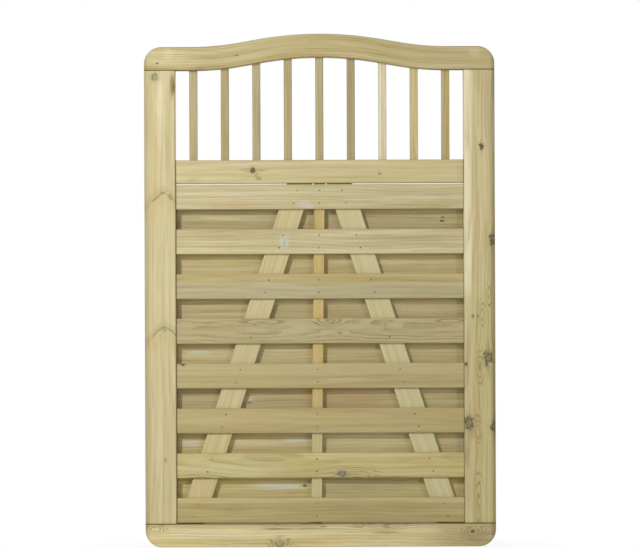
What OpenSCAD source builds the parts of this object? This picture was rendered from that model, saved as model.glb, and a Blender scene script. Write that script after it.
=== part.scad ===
// Single garden gate: a bow-topped softwood leaf with a spindle light over a hit-and-miss slatted field.
// Millimetres. The front looks towards -Y, +X is to the right of it and +Z is up.
// The origin is the middle of the bottom rail's underside.

/* [Frame] */
// Width of the gate over its stiles
gate_w = 900; // [700:10:1200]
// Thickness of the frame timber, front to back
frame_t = 45; // [42:1:60]
// Width of each stile's face
stile_w = 80; // [70:1:110]
// Height of the bottom rail's face
bottom_rail_h = 60; // [50:1:100]
// Height of the mid rail's face
mid_rail_h = 60; // [50:1:100]
// Depth of the bowed top rail, square to its curve
top_rail_h = 60; // [54:1:90]
// Radius of the gate's four outer corners
corner_r = 44; // [20:1:48]
// Radius of the eased long edges of the frame timber
frame_arris_r = 3; // [1:0.5:4]

/* [Bow] */
// Height of the crown above the shoulders
bow_rise = 33; // [15:1:60]
// Flat length at each end of the top rail, before the bow starts
shoulder_l = 122; // [100:1:200]
// How much steeper the sweep is than a straight line from shoulder to crown
sweep_ease = 1.7; // [1.2:0.02:1.9]
// Share of the bow's turning radius that belongs to the crown
crown_share = 0.57; // [0.4:0.01:0.75]

/* [Spindles] */
// Height of the open light between the mid rail and the shoulders of the top rail
light_h = 231; // [150:1:400]
// Number of spindles
spindle_count = 9; // [5:1:13]
// Side of each square spindle
spindle_s = 21; // [18:1:26]
// Clear gap between the outer spindles and the stiles
spindle_end_gap = 35.5; // [20:0.5:50]
// Depth of the mortises that hold the spindle ends
spindle_housing = 12; // [8:1:16]
// Radius of the eased edges of a spindle
spindle_arris_r = 2; // [0.5:0.5:3]

/* [Slatted field] */
// Height of the field between the bottom rail and the mid rail
field_h = 874; // [700:2:1200]
// Number of slats on the front; the back has one fewer
slat_count = 8; // [5:1:9]
// Height of a slat's face
slat_h = 64; // [50:1:75]
// Thickness of a slat
slat_t = 8; // [6:0.5:9]
// Setback of a slat's face behind the face of the frame
slat_recess = 4.5; // [3:0.5:6]
// Clear gap between the end slats and the rails
slat_end_gap = 2.5; // [1:0.5:8]
// How far a slat's end reaches into its groove in the stile
slat_housing = 10; // [5:1:14]
// Radius of the eased edges of a slat
slat_arris_r = 2; // [0.5:0.5:2.5]

/* [Braces] */
// Width of a brace, square to its length
brace_w = 62; // [40:1:80]
// Distance from the centre line of a brace's head to the middle of the gate
brace_head_x = 51; // [50:1:80]
// Room between the foot of a brace and the stile
brace_foot_gap = 4.5; // [1:0.5:20]
// Width of the centre batten
batten_w = 28; // [20:1:32]
// Sideways drift of the batten's foot, as the leaning one in this gate has
batten_drift = 11; // [0:1:14]
// Radius of the eased edges of braces and batten
brace_arris_r = 2; // [0.5:0.5:3]

/* [Fixings] */
// Diameter of the dowels in the frame joints
dowel_d = 12; // [8:1:14]
// Length of a dowel
dowel_l = 60; // [40:2:64]
// Distance between the two dowels of a stile's end
stile_dowel_pitch = 40; // [24:1:44]
// Distance between the two dowels of the mid rail's end
rail_dowel_pitch = 26; // [20:1:28]
// Diameter of a nail's shank
nail_d = 2.4; // [1.8:0.2:3]
// Length of a nail under its head
nail_l = 24; // [18:1:25]
// Diameter of a nail's head
nail_head_d = 4.6; // [4:0.2:6]
// Thickness of a nail's head
nail_head_t = 1; // [0.6:0.2:1.6]
// Depth of a nail's head below the face of its slat
nail_sink = 0.4; // [0.2:0.1:0.8]
// Distance from a nail to the edge of its slat
nail_edge = 16; // [10:1:22]

/* [Fits] */
// Clearance on each side of a timber end in its mortise or groove
housing_gap = 0.2; // [0.1:0.05:0.5]
// Room left at the bottom of each mortise
mortise_end_gap = 1; // [0.5:0.5:2]
// Clearance round a dowel
dowel_gap = 0.05; // [0.05:0.05:0.2]
// Clearance round a nail
nail_gap = 0.05; // [0.05:0.05:0.2]
// Clearance where sawn ends meet the face of a frame piece
butt_gap = 0.05; // [0:0.05:0.2]

/* [Hidden] */
half_w = gate_w / 2;
half_t = frame_t / 2;
stile_inner_x = half_w - stile_w;
stile_mid_x = half_w - stile_w / 2;
opening_w = gate_w - 2 * stile_w;

// Heights of the frame's members
mid_rail_z = bottom_rail_h + field_h;
light_z = mid_rail_z + mid_rail_h;
top_rail_z = light_z + light_h;
shoulder_z = top_rail_z + top_rail_h;
crown_z = shoulder_z + bow_rise;

// Layers of the field, front to back: slats, braces, slats
slat_front_y = -half_t + slat_recess;
core_t = frame_t - 2 * (slat_recess + slat_t);
groove_d = slat_housing + mortise_end_gap;
slat_l = opening_w + 2 * slat_housing;
slat_pitch = (field_h - 2 * slat_end_gap - slat_h) / (slat_count - 1);
first_slat_z = bottom_rail_h + slat_end_gap + slat_h / 2;

// Spindles stand at an equal pitch between the two outer ones
spindle_pitch = (opening_w - 2 * spindle_end_gap - spindle_s) / (spindle_count - 1);

// The bow: a crown arc, a straight sweep and a shoulder arc on each side, all tangent
bow_half = half_w - shoulder_l;
sweep_a = sweep_ease * atan(bow_rise / bow_half);
turn_r = (bow_half * sin(sweep_a) - bow_rise * cos(sweep_a)) / (1 - cos(sweep_a));
crown_r = crown_share * turn_r;
shoulder_r = turn_r - crown_r;
crown_seat_z = crown_z - crown_r;
shoulder_seat_z = shoulder_z + shoulder_r;

// Braces run from beside the batten's head to the corners at the foot, where their outer
// edge keeps its gap to the stile
brace_spread = stile_inner_x - brace_foot_gap - brace_head_x;
brace_span = sqrt(pow(field_h, 2) + pow(brace_spread, 2));
brace_lean = atan(brace_spread / field_h) - asin(brace_w / 2 / brace_span);
batten_lean = atan(batten_drift / field_h);

// Steps along the arcs of the outlines and round an eased edge
crown_steps = 16;
shoulder_steps = 6;
corner_steps = 6;
arris_steps = 3;

front_slats = [for (i = [1:slat_count]) str("front_slat_", i)];
rear_slats = [for (i = [1:slat_count - 1]) str("rear_slat_", i)];
spindles = [for (i = [1:spindle_count]) str("spindle_", i)];

function spindle_x(i) = -stile_inner_x + spindle_end_gap + spindle_s / 2 + i * spindle_pitch;
function front_slat_z(i) = first_slat_z + (slat_count - 1 - i) * slat_pitch;
function rear_slat_z(i) = front_slat_z(i) - slat_pitch / 2;
function brace_x(z) = brace_head_x + (mid_rail_z - z) * tan(brace_lean);
function batten_x(z) = -(mid_rail_z - z) * tan(batten_lean);
function nail_heights(z) = [z - slat_h / 2 + nail_edge, z + slat_h / 2 - nail_edge];

// Outline points are [x, z, outward x, outward z]
function arc(x, z, r, from, to, steps, side) =
    [for (i = [0:steps])
        let (a = from + (to - from) * i / steps)
            [x + r * cos(a), z + r * sin(a), side * cos(a), side * sin(a)]];
function mirrored(points) =
    [for (i = [len(points) - 1:-1:0])
        [-points[i][0], points[i][1], -points[i][2], points[i][3]]];

// Right half of the bow at a depth below its top edge, from the crown outwards
function half_bow(depth, side) = concat(
    arc(0, crown_seat_z, crown_r - depth, 90, 90 - sweep_a, crown_steps / 2, side),
    arc(bow_half, shoulder_seat_z, shoulder_r + depth, 270 - sweep_a, 270, shoulder_steps, -side));
function without_first(points) = [for (i = [1:len(points) - 1]) points[i]];
function both_sides(half) = concat(mirrored(half), without_first(half));

// Ends of a rail: a rounded corner on one edge and a square corner on the other
function round_end(z, side) =
    arc(half_w - corner_r, z - side * corner_r, corner_r, side * 90, 0, corner_steps, 1);
function square_end(z, side) =
    [for (i = [0:corner_steps])
        [half_w - corner_r * (1 - i / corner_steps), z, i == corner_steps ? 1 : 0, side]];

// Height of the top rail's underside over the light
function under_z(x) =
    let (u = abs(x),
         crown_end = (crown_r - top_rail_h) * sin(sweep_a),
         crown_foot_z = crown_seat_z + (crown_r - top_rail_h) * cos(sweep_a),
         sweep_end = bow_half - (shoulder_r + top_rail_h) * sin(sweep_a))
    u <= crown_end ? crown_seat_z + sqrt(pow(crown_r - top_rail_h, 2) - u * u)
    : u <= sweep_end ? crown_foot_z - (u - crown_end) * tan(sweep_a)
    : u <= bow_half ? shoulder_seat_z - sqrt(pow(shoulder_r + top_rail_h, 2) - pow(bow_half - u, 2))
    : top_rail_z;

// Section of a straight stick with eased long edges
module eased_section(w, t, r) {
    centres = [[w / 2 - r, t / 2 - r], [r - w / 2, t / 2 - r],
               [r - w / 2, r - t / 2], [w / 2 - r, r - t / 2]];
    polygon([for (q = [0:3], i = [0:arris_steps])
        let (a = 90 * (q + i / arris_steps)) centres[q] + r * [cos(a), sin(a)]]);
}

// A straight upright stick, its foot at z = 0
module upright(w, t, l, r) {
    linear_extrude(l) eased_section(w, t, r);
}

// A straight level stick along X, centred
module level(l, h, t, r) {
    rotate([0, 90, 0]) linear_extrude(l, center = true) eased_section(h, t, r);
}

// A flat plate with every edge eased, between an upper and a lower edge of as many points
module eased_rail(upper, lower) {
    count = len(upper);
    ring = 2 * count;
    turn = [for (k = [0:arris_steps]) 90 * k / arris_steps];
    front = [for (a = turn) [-half_t + frame_arris_r * (1 - cos(a)), frame_arris_r * (1 - sin(a))]];
    back = [for (k = [arris_steps:-1:0]) [-front[k][0], front[k][1]]];
    layers = concat(front, back);
    points = [for (layer = layers, p = concat(upper, lower))
        [p[0] - layer[1] * p[2], layer[0], p[1] - layer[1] * p[3]]];
    last = len(layers) - 1;
    edges = [for (j = [0:last - 1], i = [0:count - 2])
        let (a = j * ring + i, b = a + ring) each [
            [a, b, b + 1, a + 1],
            [a + count, a + count + 1, b + count + 1, b + count]]];
    ends = [for (j = [0:last - 1])
        let (a = j * ring, b = a + ring) each [
            [a, a + count, b + count, b],
            [a + count - 1, b + count - 1, b + ring - 1, a + ring - 1]]];
    faces = [for (i = [0:count - 2])
        let (z = last * ring + i) each [
            [i, i + 1, i + count + 1, i + count],
            [z, z + count, z + count + 1, z + 1]]];
    polyhedron(points, concat(edges, ends, faces));
}

module dowel_bore(l) {
    cylinder(h = l, d = dowel_d + 2 * dowel_gap, center = true, $fn = 48);
}

module dowel() {
    cylinder(h = dowel_l, d = dowel_d, center = true, $fn = 48);
}

// Axes of the upright dowels in the corner joints at a given height
module at_corner_dowels(z) {
    for (side = [-1, 1], d = [-1, 1])
        translate([side * stile_mid_x + d * stile_dowel_pitch / 2, 0, z]) children();
}

// Axes of the level dowels at the mid rail's ends
module at_mid_dowels() {
    for (side = [-1, 1], d = [-1, 1])
        translate([side * stile_inner_x, 0, mid_rail_z + mid_rail_h / 2 + d * rail_dowel_pitch / 2])
            rotate([0, 90, 0]) children();
}

// Nails lie on the centre lines of the two braces and the batten, two in each crossing
module at_slat_nails(z) {
    for (h = nail_heights(z), x = [-brace_x(h), batten_x(h), brace_x(h)])
        translate([x, 0, h]) children();
}

module at_front_nails() {
    for (i = [0:slat_count - 1]) at_slat_nails(front_slat_z(i)) children();
}

module at_rear_nails() {
    for (i = [0:slat_count - 2]) at_slat_nails(rear_slat_z(i)) mirror([0, 1, 0]) children();
}

// A nail driven from the front, grown by a clearance where it is used as a cutter
module nail(gap) {
    head_y = slat_front_y + nail_sink;
    translate([0, head_y, 0]) rotate([-90, 0, 0]) {
        cylinder(h = nail_head_t, d = nail_head_d + 2 * gap, $fn = 32);
        cylinder(h = nail_head_t + nail_l + gap, d = nail_d + 2 * gap, $fn = 24);
    }
}

// The room that a nail needs, open to the face of the slat
module nail_bore() {
    nail(nail_gap);
    translate([0, slat_front_y - nail_sink, 0]) rotate([-90, 0, 0])
        cylinder(h = 2 * nail_sink + nail_gap, d = nail_head_d + 2 * nail_gap, $fn = 32);
}

// The stile on the right; the left one is its mirror image
module stile() {
    groove_w = slat_t + 2 * housing_gap;
    difference() {
        translate([stile_mid_x, 0, bottom_rail_h + butt_gap])
            upright(stile_w, frame_t, top_rail_z - bottom_rail_h - 2 * butt_gap, frame_arris_r);
        for (side = [-1, 1])
            translate([stile_inner_x - groove_d, side * (core_t + slat_t) / 2 - groove_w / 2, 0])
                cube([2 * groove_d, groove_w, mid_rail_z]);
        at_corner_dowels(bottom_rail_h) dowel_bore(dowel_l + 2 * mortise_end_gap);
        at_corner_dowels(top_rail_z) dowel_bore(dowel_l + 2 * mortise_end_gap);
        at_mid_dowels() dowel_bore(dowel_l + 2 * mortise_end_gap);
    }
}

module left_stile() {
    color("#d3c598") mirror([1, 0, 0]) stile();
}

module right_stile() {
    color("#c3b58a") stile();
}

// Mortise for one spindle, with its foot at z = 0
module spindle_mortise(depth) {
    side = spindle_s + 2 * housing_gap;
    translate([-side / 2, -side / 2, 0]) cube([side, side, depth]);
}

module top_rail() {
    upper = both_sides(concat(half_bow(0, 1), round_end(shoulder_z, 1)));
    lower = both_sides(concat(half_bow(top_rail_h, -1), square_end(top_rail_z, -1)));
    color("#c9bc90") difference() {
        eased_rail(upper, lower);
        for (i = [0:spindle_count - 1])
            translate([spindle_x(i), 0, top_rail_z - spindle_housing])
                spindle_mortise(under_z(spindle_x(i)) - top_rail_z + 2 * spindle_housing + mortise_end_gap);
        at_corner_dowels(top_rail_z) dowel_bore(dowel_l + 2 * mortise_end_gap);
    }
}

module mid_rail() {
    color("#cdbe8e") difference() {
        translate([0, 0, mid_rail_z + mid_rail_h / 2])
            level(opening_w - 2 * butt_gap, mid_rail_h, frame_t, frame_arris_r);
        for (i = [0:spindle_count - 1])
            translate([spindle_x(i), 0, light_z - spindle_housing - mortise_end_gap])
                spindle_mortise(2 * spindle_housing);
        at_mid_dowels() dowel_bore(dowel_l + 2 * mortise_end_gap);
    }
}

module bottom_rail() {
    straight = [[0, 1], [half_w / 2, 1]];
    upper = both_sides(concat([for (p = straight) [p[0], bottom_rail_h, 0, 1]],
        square_end(bottom_rail_h, 1)));
    lower = both_sides(concat([for (p = straight) [p[0], 0, 0, -1]], round_end(0, -1)));
    color("#c2b588") difference() {
        eased_rail(upper, lower);
        at_corner_dowels(bottom_rail_h) dowel_bore(dowel_l + 2 * mortise_end_gap);
    }
}

module spindle(i) {
    foot_z = light_z - spindle_housing;
    head_z = under_z(spindle_x(i)) + spindle_housing;
    color("#b8ab80") translate([spindle_x(i), 0, foot_z])
        upright(spindle_s, spindle_s, head_z - foot_z, spindle_arris_r);
}

module front_slat(i) {
    color("#bfb086") difference() {
        translate([0, slat_front_y + slat_t / 2, front_slat_z(i)])
            level(slat_l, slat_h, slat_t, slat_arris_r);
        at_slat_nails(front_slat_z(i)) nail_bore();
    }
}

module rear_slat(i) {
    color("#a89a6c") difference() {
        translate([0, -slat_front_y - slat_t / 2, rear_slat_z(i)])
            level(slat_l, slat_h, slat_t, slat_arris_r);
        at_slat_nails(rear_slat_z(i)) mirror([0, 1, 0]) nail_bore();
    }
}

// A leaning stick between the bottom rail and the mid rail, cut level at both ends
module leaning_stick(w, head_x, lean) {
    l = field_h / cos(lean);
    intersection() {
        translate([head_x, 0, mid_rail_z]) rotate([0, -lean, 0])
            translate([0, 0, -l - w]) upright(w, core_t, l + 2 * w, brace_arris_r);
        translate([-half_w, -frame_t, bottom_rail_h + butt_gap])
            cube([gate_w, 2 * frame_t, field_h - 2 * butt_gap]);
    }
}

module right_brace() {
    color("#c4b98c") difference() {
        leaning_stick(brace_w, brace_head_x, brace_lean);
        at_front_nails() nail(nail_gap);
        at_rear_nails() nail(nail_gap);
    }
}

module left_brace() {
    color("#c4b98c") mirror([1, 0, 0]) right_brace();
}

module centre_batten() {
    color("#bfa76f") difference() {
        leaning_stick(batten_w, 0, -batten_lean);
        at_front_nails() nail(nail_gap);
        at_rear_nails() nail(nail_gap);
    }
}

module top_rail_dowels() {
    color("#d8bf8f") at_corner_dowels(top_rail_z) dowel();
}

module mid_rail_dowels() {
    color("#d8bf8f") at_mid_dowels() dowel();
}

module bottom_rail_dowels() {
    color("#d8bf8f") at_corner_dowels(bottom_rail_h) dowel();
}

module front_nails() {
    color("#8d9095") at_front_nails() nail(0);
}

module rear_nails() {
    color("#8d9095") at_rear_nails() nail(0);
}

left_stile();
right_stile();
top_rail();
mid_rail();
bottom_rail();
for (i = [0:spindle_count - 1]) spindle(i);
for (i = [0:slat_count - 1]) front_slat(i);
for (i = [0:slat_count - 2]) rear_slat(i);
left_brace();
right_brace();
centre_batten();
top_rail_dowels();
mid_rail_dowels();
bottom_rail_dowels();
front_nails();
rear_nails();
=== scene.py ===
# Single garden gate: the bow-topped softwood leaf dressed for rendering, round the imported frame.
# Metres. The front looks towards -Y, +X is to the right of it and +Z is up.
import math
from collections import namedtuple

import bpy
import numpy as np
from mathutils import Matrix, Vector, noise


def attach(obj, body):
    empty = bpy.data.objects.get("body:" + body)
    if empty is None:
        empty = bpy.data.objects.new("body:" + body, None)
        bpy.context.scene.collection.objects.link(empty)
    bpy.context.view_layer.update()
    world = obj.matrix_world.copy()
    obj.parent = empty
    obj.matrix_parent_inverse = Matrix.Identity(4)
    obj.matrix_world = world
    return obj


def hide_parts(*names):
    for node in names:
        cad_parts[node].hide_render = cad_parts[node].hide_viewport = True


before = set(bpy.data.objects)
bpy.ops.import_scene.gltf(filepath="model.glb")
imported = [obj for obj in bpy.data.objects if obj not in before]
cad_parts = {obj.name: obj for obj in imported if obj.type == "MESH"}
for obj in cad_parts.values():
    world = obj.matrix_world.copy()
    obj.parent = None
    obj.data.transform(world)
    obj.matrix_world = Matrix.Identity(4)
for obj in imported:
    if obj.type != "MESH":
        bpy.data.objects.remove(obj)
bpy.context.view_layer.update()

MM = 0.001
MM_PER_METRE = (1000.0, 1000.0, 1000.0)
WHITE = (1.0, 1.0, 1.0, 1.0)

# Sizes of the frame, as in the part's source
HALF_W, HALF_T = 450 * MM, 22.5 * MM
STILE_X, STILE_MID_X = 370 * MM, 410 * MM
BOTTOM_RAIL_Z, MID_RAIL_Z, LIGHT_Z = 60 * MM, 934 * MM, 994 * MM
TOP_RAIL_Z, SHOULDER_Z, CROWN_Z = 1225 * MM, 1285 * MM, 1318 * MM
TOP_RAIL_H, CORNER_R, FRAME_ARRIS = 60 * MM, 44 * MM, 3 * MM
BUTT_GAP, HOUSING_GAP, END_GAP, DOWEL_GAP = 0.05 * MM, 0.2 * MM, 1 * MM, 0.05 * MM

# The bow: a crown arc, a straight sweep and a shoulder arc on each side, all tangent
BOW_RISE, BOW_HALF, SWEEP_EASE, CROWN_SHARE = 33 * MM, 328 * MM, 1.7, 0.57
SWEEP_A = SWEEP_EASE * math.atan(BOW_RISE / BOW_HALF)
TURN_R = (BOW_HALF * math.sin(SWEEP_A) - BOW_RISE * math.cos(SWEEP_A)) / (1 - math.cos(SWEEP_A))
CROWN_R, SHOULDER_R = CROWN_SHARE * TURN_R, (1 - CROWN_SHARE) * TURN_R
CROWN_SEAT_Z, SHOULDER_SEAT_Z = CROWN_Z - CROWN_R, SHOULDER_Z + SHOULDER_R

# Spindles, slats and braces
SPINDLES, FRONT_SLATS, REAR_SLATS = 9, 8, 7
SPINDLE_S, SPINDLE_X0, SPINDLE_PITCH, SPINDLE_HOUSING = 21 * MM, -324 * MM, 81 * MM, 12 * MM
SPINDLE_PLACES = [SPINDLE_X0 + i * SPINDLE_PITCH for i in range(SPINDLES)]
MORTISE_DEPTH = SPINDLE_HOUSING + END_GAP
SLAT_H, SLAT_T, SLAT_Y, SLAT_HALF_L, SLAT_PITCH = 64 * MM, 8 * MM, 14 * MM, 380 * MM, 115 * MM
TOP_SLAT_Z, SLAT_GROOVE = 899.5 * MM, 11 * MM
CORE_HALF_T, SMALL_ARRIS, SLAT_ARRIS = 10 * MM, 2 * MM, 1.98 * MM
FIELD_H = MID_RAIL_Z - BOTTOM_RAIL_Z
BRACE_W, BRACE_HEAD_X, BRACE_FOOT_GAP = 62 * MM, 51 * MM, 4.5 * MM
BRACE_SPREAD = STILE_X - BRACE_FOOT_GAP - BRACE_HEAD_X
BRACE_LEAN = math.atan(BRACE_SPREAD / FIELD_H) - math.asin(BRACE_W / 2 / math.hypot(FIELD_H, BRACE_SPREAD))
BATTEN_W, BATTEN_DRIFT = 28 * MM, 11 * MM
BATTEN_LEAN = math.atan(BATTEN_DRIFT / FIELD_H)

# Fixings
DOWEL_R, DOWEL_L, STILE_DOWEL_PITCH, RAIL_DOWEL_PITCH = 6 * MM, 60 * MM, 40 * MM, 26 * MM
NAIL_R, NAIL_HEAD_R, NAIL_HEAD_T, NAIL_L, NAIL_SINK = 1.2 * MM, 2.3 * MM, 1 * MM, 24 * MM, 0.4 * MM
NAIL_GAP, NAIL_EDGE = 0.05 * MM, 16 * MM

# Fineness of the meshes
COLUMN_PITCH, ROW_PITCH = 11 * MM, 9 * MM
ARRIS_STEPS, CORNER_STEPS, CROWN_STEPS, SWEEP_STEPS, SHOULDER_STEPS = 4, 12, 22, 4, 14
DOWEL_SIDES, NAIL_SIDES, SHARP_FROM = 24, 16, math.radians(40)

# Wear: depth of the planer waves and the dents, how dense both are, and how far a seed shifts them
PLANE_WAVE, ARRIS_WEAR = 0.16 * MM, 0.55 * MM
WAVE_DENSITY, DENT_DENSITY, WEAR_SHIFT = Vector((9.0, 30.0, 9.0)), 55.0, Vector((3.1, 1.7, 0.9))
SPINDLE_SEED, FRONT_SLAT_SEED, REAR_SLAT_SEED = 20, 30, 40
# How much the ends of a butting board are eased, in shares of its arris
END_EASE = 0.3


# Outlines

def arc(x, z, r, start, stop, steps, side):
    """Points (x, z, outward x, outward z) along an arc given in degrees."""
    turns = [math.radians(start + (stop - start) * i / steps) for i in range(steps + 1)]
    return [(x + r * math.cos(a), z + r * math.sin(a), side * math.cos(a), side * math.sin(a))
            for a in turns]


def steps_over(length, pitch):
    return max(1, round(length / pitch))


def straight(start, stop, normal):
    """Points along a straight edge, at about the column pitch."""
    (x0, z0), (x1, z1) = start, stop
    count = steps_over(math.dist(start, stop), COLUMN_PITCH)
    return [(x0 + (x1 - x0) * i / count, z0 + (z1 - z0) * i / count, *normal) for i in range(count + 1)]


def both_sides(half):
    """The whole edge, whose right half starts in the middle."""
    return [(-x, z, -nx, nz) for x, z, nx, nz in reversed(half)] + half[1:]


def half_bow(depth, side):
    """The right half of the bow at a depth below its top edge, from the crown outwards."""
    sweep = math.degrees(SWEEP_A)
    crown = arc(0, CROWN_SEAT_Z, CROWN_R - depth, 90, 90 - sweep, CROWN_STEPS, side)
    shoulder = arc(BOW_HALF, SHOULDER_SEAT_Z, SHOULDER_R + depth, 270 - sweep, 270, SHOULDER_STEPS, -side)
    middle = [tuple(a + (b - a) * k / SWEEP_STEPS for a, b in zip(crown[-1], shoulder[0]))
              for k in range(1, SWEEP_STEPS)]
    return crown + middle + shoulder


def under_z(x):
    """Height of the top rail's underside over the light."""
    u = abs(x)
    crown_r, shoulder_r = CROWN_R - TOP_RAIL_H, SHOULDER_R + TOP_RAIL_H
    crown_end = crown_r * math.sin(SWEEP_A)
    if u <= crown_end:
        return CROWN_SEAT_Z + math.sqrt(crown_r ** 2 - u ** 2)
    if u <= BOW_HALF - shoulder_r * math.sin(SWEEP_A):
        return CROWN_SEAT_Z + crown_r * math.cos(SWEEP_A) - (u - crown_end) * math.tan(SWEEP_A)
    if u <= BOW_HALF:
        return SHOULDER_SEAT_Z - math.sqrt(shoulder_r ** 2 - (BOW_HALF - u) ** 2)
    return TOP_RAIL_Z


# Boards: a skin over a lattice of columns, layers and rows

def layer_profile(half_t, arris):
    """(depth, inset) of each layer from the front face to the back face."""
    turns = [math.pi / 2 * k / ARRIS_STEPS for k in range(ARRIS_STEPS + 1)]
    front = [(-half_t + arris * (1 - math.cos(a)), arris * (1 - math.sin(a))) for a in turns]
    inner = 2 * (half_t - arris)
    count = steps_over(inner, ROW_PITCH)
    middle = [(-half_t + arris + inner * k / count, 0.0) for k in range(1, count)]
    back = [(-y, inset) for y, inset in reversed(front)]
    return front + middle + back


def board(edges, half_t, arris, seed, mid_y=0, upright=False):
    """A board between two edges of as many points, with every long edge eased and worn."""
    upper, lower = edges
    layers = layer_profile(half_t, arris)
    width = max(math.dist(a[:2], b[:2]) for a, b in zip(upper, lower))
    rows = steps_over(width, ROW_PITCH)
    last_i, last_j = len(upper) - 1, len(layers) - 1
    index, points, wear = {}, [], []
    for i, (up, low) in enumerate(zip(upper, lower)):
        for j, (y, inset) in enumerate(layers):
            for q in range(rows + 1):
                if 0 < i < last_i and 0 < j < last_j and 0 < q < rows:
                    continue
                share = q / rows
                top = (up[0] - inset * up[2], up[1] - inset * up[3])
                foot = (low[0] - inset * low[2], low[1] - inset * low[3])
                u = foot[0] + (top[0] - foot[0]) * share
                v = foot[1] + (top[1] - foot[1]) * share
                index[i, j, q] = len(points)
                points.append((-v, y + mid_y, u) if upright else (u, y + mid_y, v))
                on_edge = q in (0, rows)
                wear.append(4 * inset / arris * (1 - inset / arris) if on_edge else 0.0)
    faces = []

    def cell(axis, last, a, b):
        """Both faces of a cell, at 0 and at last along an axis, that look outwards."""
        one_way = [(a, b), (a + 1, b), (a + 1, b + 1), (a, b + 1)]
        other_way = one_way[:1] + one_way[:0:-1]
        ways = (one_way, other_way) if axis == 1 else (other_way, one_way)
        for place, corners in zip((0, last), ways):
            faces.append([index[c[:axis] + (place,) + c[axis:]] for c in corners])

    for i in range(last_i):
        for q in range(rows):
            cell(1, last_j, i, q)
        for j in range(last_j):
            cell(2, rows, i, j)
    for j in range(last_j):
        for q in range(rows):
            cell(0, last_i, j, q)
    mesh = bpy.data.meshes.new("board")
    mesh.from_pydata(points, [], faces)
    mesh.update()
    plane_and_wear(mesh, wear, seed)
    return mesh


def plane_and_wear(mesh, wear, seed):
    """Planer waves over the faces and small dents along the arrises, always inwards."""
    shift = seed * WEAR_SHIFT
    normals = [Vector(n.vector) for n in mesh.vertex_normals]
    for vertex, normal, worn in zip(mesh.vertices, normals, wear):
        wave = 0.5 + 0.5 * noise.noise(vertex.co * WAVE_DENSITY + shift)
        dent = max(0.0, noise.noise(vertex.co * DENT_DENSITY + shift)) ** 2
        vertex.co -= normal * (PLANE_WAVE * wave + ARRIS_WEAR * worn * dent)


# Cutters for housings, bores and nail holes

def box_cutter(low, high):
    corners = [(x, y, z) for x in (low[0], high[0]) for y in (low[1], high[1]) for z in (low[2], high[2])]
    faces = [(0, 1, 3, 2), (4, 6, 7, 5), (0, 4, 5, 1), (2, 3, 7, 6), (0, 2, 6, 4), (1, 5, 7, 3)]
    return corners, faces


def turned_cutter(base, axis, profile, sides):
    """A turned cutter with its foot at base; profile is [(distance along axis, radius)]."""
    axis = Vector(axis)
    across = axis.orthogonal().normalized()
    other = axis.cross(across)
    points, faces = [], []
    for along, r in profile:
        for k in range(sides):
            a = math.tau * k / sides
            spoke = across * math.cos(a) + other * math.sin(a)
            points.append(tuple(Vector(base) + axis * along + spoke * r))
    for ring in range(len(profile) - 1):
        for k in range(sides):
            a, b = ring * sides + k, ring * sides + (k + 1) % sides
            faces.append((a, b, b + sides, a + sides))
    faces.append(tuple(reversed(range(sides))))
    faces.append(tuple(range(len(points) - sides, len(points))))
    return points, faces


def dowel_bore(centre, axis):
    length = DOWEL_L + 2 * END_GAP
    base = Vector(centre) - Vector(axis) * length / 2
    r = DOWEL_R + DOWEL_GAP
    return turned_cutter(base, axis, [(0, r), (length, r)], DOWEL_SIDES)


def corner_bores(z, sides=(-1, 1)):
    return [dowel_bore((side * STILE_MID_X + d * STILE_DOWEL_PITCH / 2, 0, z), (0, 0, 1))
            for side in sides for d in (-1, 1)]


def mid_bores(sides=(-1, 1)):
    z = (MID_RAIL_Z + LIGHT_Z) / 2
    return [dowel_bore((side * STILE_X, 0, z + d * RAIL_DOWEL_PITCH / 2), (1, 0, 0))
            for side in sides for d in (-1, 1)]


def front_slat_z(i):
    return TOP_SLAT_Z - i * SLAT_PITCH


def rear_slat_z(i):
    return front_slat_z(i) - SLAT_PITCH / 2


def brace_x(z):
    return BRACE_HEAD_X + (MID_RAIL_Z - z) * math.tan(BRACE_LEAN)


def left_brace_x(z):
    return -brace_x(z)


def batten_x(z):
    return -(MID_RAIL_Z - z) * math.tan(BATTEN_LEAN)


def nail_heights(z):
    return z - SLAT_H / 2 + NAIL_EDGE, z + SLAT_H / 2 - NAIL_EDGE


def nail_bore(x, z, front):
    """The hole of one nail, from outside the slat's face to the nail's point."""
    way = 1 if front else -1
    face = SLAT_Y + SLAT_T / 2
    neck = NAIL_SINK + NAIL_HEAD_T
    head_r, shank_r = NAIL_HEAD_R + NAIL_GAP, NAIL_R + NAIL_GAP
    profile = [(-NAIL_SINK, head_r), (neck, head_r), (neck + NAIL_GAP, shank_r),
               (neck + NAIL_L + NAIL_GAP, shank_r)]
    return turned_cutter((x, -way * face, z), (0, way, 0), profile, NAIL_SIDES)


def slat_nails(z, front):
    return [nail_bore(x_at(h), h, front) for h in nail_heights(z)
            for x_at in (left_brace_x, batten_x, brace_x)]


def stick_nails(x_at):
    front = [h for i in range(FRONT_SLATS) for h in nail_heights(front_slat_z(i))]
    rear = [h for i in range(REAR_SLATS) for h in nail_heights(rear_slat_z(i))]
    return [nail_bore(x_at(h), h, True) for h in front] + [nail_bore(x_at(h), h, False) for h in rear]


def new_object(name, data):
    """An object with this data, linked into the scene."""
    obj = bpy.data.objects.new(name, data)
    bpy.context.scene.collection.objects.link(obj)
    return obj


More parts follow.
